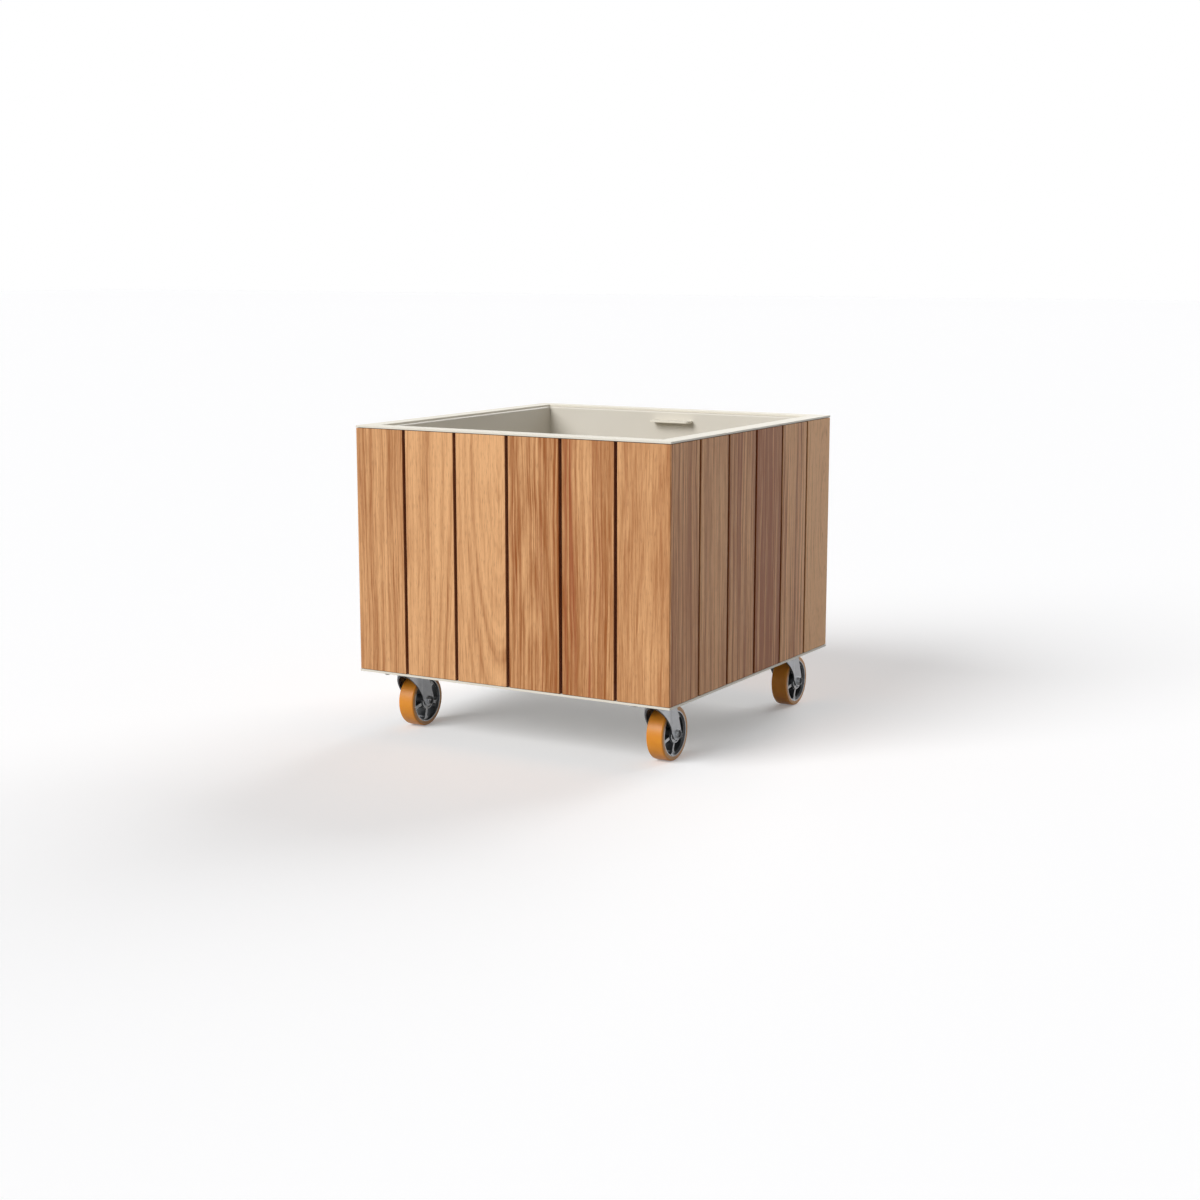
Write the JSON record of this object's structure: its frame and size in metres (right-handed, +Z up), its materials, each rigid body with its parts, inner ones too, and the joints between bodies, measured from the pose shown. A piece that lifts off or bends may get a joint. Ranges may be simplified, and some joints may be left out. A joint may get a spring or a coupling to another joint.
{
  "type": "rolling planter",
  "caption": "Square rolling planter: a folded steel tank with a flat rim, clad in upright hardwood boards, on swivel casters with spoked wheels.",
  "frame": {"origin": "on the ground under the middle of the square body", "axes": "+Z up, -Y towards the front, +X to the right of someone who looks at the front; the casters trail towards +Y"},
  "size_m": [1, 1.015, 0.878],
  "materials": {
    "hardwood": "planed hardwood with open straight grain, oiled",
    "coated_steel": "cream powder coat, matt with a fine texture",
    "galvanised_steel": "galvanised, dull",
    "zinc_plated_steel": "pressed sheet, bright zinc plated",
    "fastener_steel": "zinc plated fasteners",
    "bearing_steel": "ground bearing steel",
    "cast_aluminium": "die cast with machined edges",
    "polyurethane": "smooth amber polyurethane"
  },
  "bodies": {
    "planter": {"tank": "coated_steel", "lifting_lugs": "coated_steel", "rim_frame": "coated_steel", "base_plate": "coated_steel", "upper_rail": "galvanised_steel", "lower_rail": "galvanised_steel", "corner_posts": "galvanised_steel", "base_channels": "galvanised_steel", "board_front_1": "hardwood", "board_front_2": "hardwood", "board_front_3": "hardwood", "board_front_4": "hardwood", "board_front_5": "hardwood", "board_front_6": "hardwood", "board_right_1": "hardwood", "board_right_2": "hardwood", "board_right_3": "hardwood", "board_right_4": "hardwood", "board_right_5": "hardwood", "board_right_6": "hardwood", "board_back_1": "hardwood", "board_back_2": "hardwood", "board_back_3": "hardwood", "board_back_4": "hardwood", "board_back_5": "hardwood", "board_back_6": "hardwood", "board_left_1": "hardwood", "board_left_2": "hardwood", "board_left_3": "hardwood", "board_left_4": "hardwood", "board_left_5": "hardwood", "board_left_6": "hardwood", "board_screws": "fastener_steel", "caster_bolts": "fastener_steel", "kingpins": "fastener_steel", "swivel_balls": "bearing_steel", "caster_plate_front_left": "zinc_plated_steel", "caster_plate_front_right": "zinc_plated_steel", "caster_plate_back_left": "zinc_plated_steel", "caster_plate_back_right": "zinc_plated_steel"},
    "caster_front_left": {"fork_front_left": "zinc_plated_steel", "axle_front_left": "fastener_steel"},
    "wheel_front_left": {"core_front_left": "cast_aluminium", "tread_front_left": "polyurethane", "bearings_front_left": "bearing_steel"},
    "caster_front_right": {"fork_front_right": "zinc_plated_steel", "axle_front_right": "fastener_steel"},
    "wheel_front_right": {"core_front_right": "cast_aluminium", "tread_front_right": "polyurethane", "bearings_front_right": "bearing_steel"},
    "caster_back_left": {"fork_back_left": "zinc_plated_steel", "axle_back_left": "fastener_steel"},
    "wheel_back_left": {"core_back_left": "cast_aluminium", "tread_back_left": "polyurethane", "bearings_back_left": "bearing_steel"},
    "caster_back_right": {"fork_back_right": "zinc_plated_steel", "axle_back_right": "fastener_steel"},
    "wheel_back_right": {"core_back_right": "cast_aluminium", "tread_back_right": "polyurethane", "bearings_back_right": "bearing_steel"}
  },
  "joints": [
    {"name": "swivel_front_left", "type": "hinge", "parent": "planter", "child": "caster_front_left", "pos_m": [-0.407, -0.39, 0.165], "axis": [0, 0, 1], "continuous": true},
    {"name": "roll_front_left", "type": "hinge", "parent": "caster_front_left", "child": "wheel_front_left", "pos_m": [-0.407, -0.34, 0.075], "axis": [1, 0, 0], "continuous": true},
    {"name": "swivel_front_right", "type": "hinge", "parent": "planter", "child": "caster_front_right", "pos_m": [0.407, -0.39, 0.165], "axis": [0, 0, 1], "continuous": true},
    {"name": "roll_front_right", "type": "hinge", "parent": "caster_front_right", "child": "wheel_front_right", "pos_m": [0.407, -0.34, 0.075], "axis": [1, 0, 0], "continuous": true},
    {"name": "swivel_back_left", "type": "hinge", "parent": "planter", "child": "caster_back_left", "pos_m": [-0.407, 0.39, 0.165], "axis": [0, 0, 1], "continuous": true},
    {"name": "roll_back_left", "type": "hinge", "parent": "caster_back_left", "child": "wheel_back_left", "pos_m": [-0.407, 0.44, 0.075], "axis": [1, 0, 0], "continuous": true},
    {"name": "swivel_back_right", "type": "hinge", "parent": "planter", "child": "caster_back_right", "pos_m": [0.407, 0.39, 0.165], "axis": [0, 0, 1], "continuous": true},
    {"name": "roll_back_right", "type": "hinge", "parent": "caster_back_right", "child": "wheel_back_right", "pos_m": [0.407, 0.44, 0.075], "axis": [1, 0, 0], "continuous": true}
  ]
}
